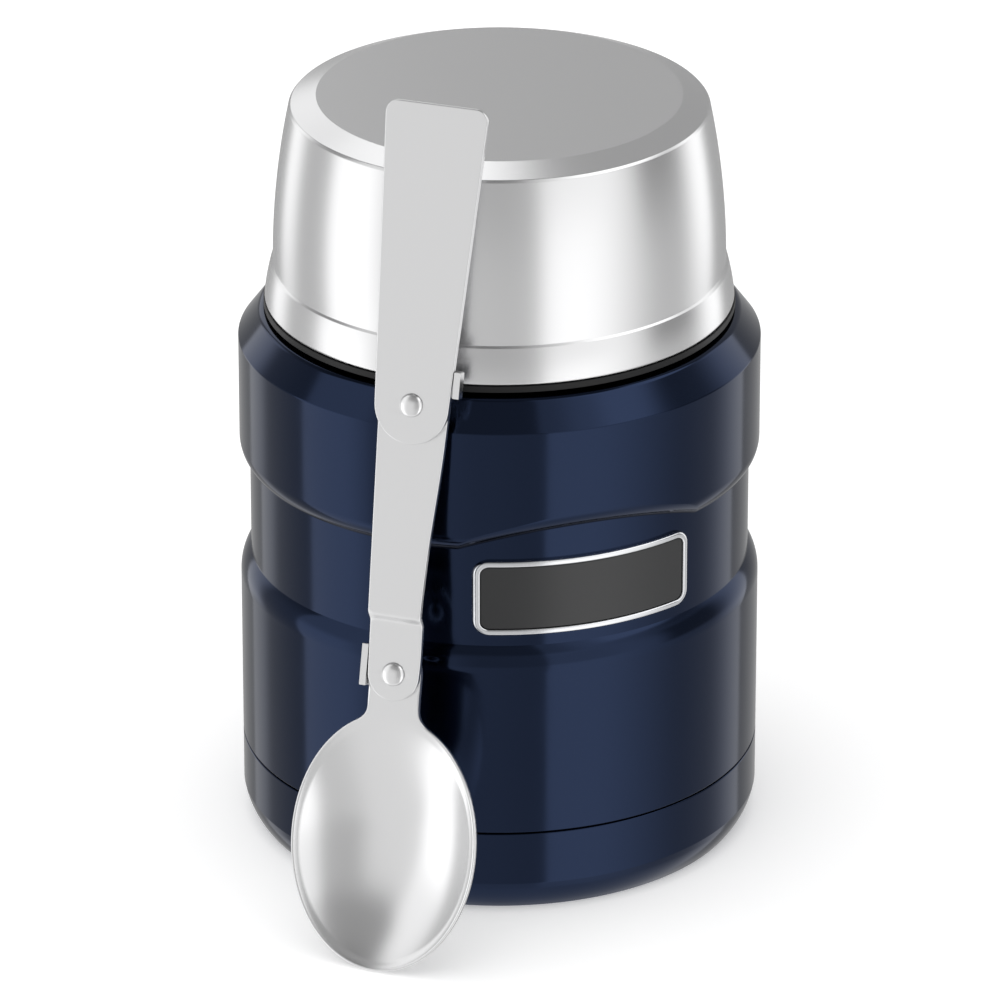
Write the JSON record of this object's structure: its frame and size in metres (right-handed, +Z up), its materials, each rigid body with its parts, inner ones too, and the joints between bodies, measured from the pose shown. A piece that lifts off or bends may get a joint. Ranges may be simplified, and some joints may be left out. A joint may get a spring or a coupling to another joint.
{
  "type": "insulated food jar",
  "caption": "Vacuum-insulated food jar with a sculpted waist, a screw stopper, a screw-on steel serving cup and a riveted folding spoon leaning on it.",
  "frame": {"origin": "centre of the flat foot ring that the jar stands on", "axes": "+Z up along the jar's axis, -Y towards the front, +X to the right seen from the front"},
  "size_m": [0.095, 0.1213, 0.152],
  "materials": {
    "navy_lacquer": "glossy dark blue lacquer on steel",
    "vessel_steel": "satin steel",
    "cup_steel": "finely brushed steel",
    "spoon_steel": "satin steel",
    "foil": "thin bright foil",
    "getter_metal": "pressed metal capsule",
    "seal_glass": "hard sealing bead",
    "black_plastic": "fine matt black",
    "foam": "light closed foam",
    "silicone": "soft translucent grey",
    "badge_charcoal": "smooth charcoal",
    "badge_silver": "bright silver edge"
  },
  "bodies": {
    "jar": {"outer_shell": "navy_lacquer", "base_cup": "navy_lacquer", "inner_vessel": "vessel_steel", "radiation_foil": "foil", "closing_plate": "vessel_steel", "vacuum_seal_bead": "seal_glass", "getter_capsule": "getter_metal", "badge_rim": "badge_silver", "badge_face": "badge_charcoal"},
    "stopper_seal": {"stopper_gasket": "silicone"},
    "stopper": {"stopper_body": "black_plastic", "stopper_cap": "black_plastic", "stopper_insulation": "foam"},
    "cup_lining": {"cup_liner": "vessel_steel"},
    "cup": {"cup_shell": "cup_steel", "cup_thread_ring": "black_plastic"},
    "spoon_bowl_end": {"spoon_bowl": "spoon_steel", "lower_rivet": "spoon_steel"},
    "spoon_middle": {"spoon_link": "spoon_steel", "upper_rivet": "spoon_steel"},
    "spoon_grip": {"spoon_handle": "spoon_steel"}
  },
  "joints": [
    {"name": "stopper_rise", "type": "slide", "parent": "jar", "child": "stopper_seal", "axis": [0, 0, 1], "range_m": [0, 0.024]},
    {"name": "stopper_turn", "type": "hinge", "parent": "stopper_seal", "child": "stopper", "pos_m": [0, 0, 0.11], "axis": [0, 0, 1], "range_deg": [0, 1080]},
    {"name": "cup_rise", "type": "slide", "parent": "stopper", "child": "cup_lining", "axis": [0, 0, 1], "range_m": [0, 0.036]},
    {"name": "cup_turn", "type": "hinge", "parent": "cup_lining", "child": "cup", "pos_m": [0, 0, 0.12], "axis": [0, 0, 1], "range_deg": [0, 1620]},
    {"name": "spoon_lift", "type": "slide", "parent": "cup_lining", "child": "spoon_bowl_end", "axis": [0, 0, 1], "range_m": [0, 0.15]},
    {"name": "link_fold", "type": "hinge", "parent": "spoon_bowl_end", "child": "spoon_middle", "pos_m": [-0.01846, -0.05702, 0.05255], "axis": [0.3494, 0.896, -0.274], "range_deg": [0, 180]},
    {"name": "handle_fold", "type": "hinge", "parent": "spoon_middle", "child": "spoon_grip", "pos_m": [-0.01417, -0.04438, 0.09938], "axis": [-0.3494, -0.896, 0.274], "range_deg": [0, 180]}
  ],
  "couplings": [
    {"joint": "stopper_rise", "follows": "stopper_turn", "m_per_rad": 0.0012732},
    {"joint": "cup_rise", "follows": "cup_turn", "m_per_rad": 0.0012732}
  ]
}
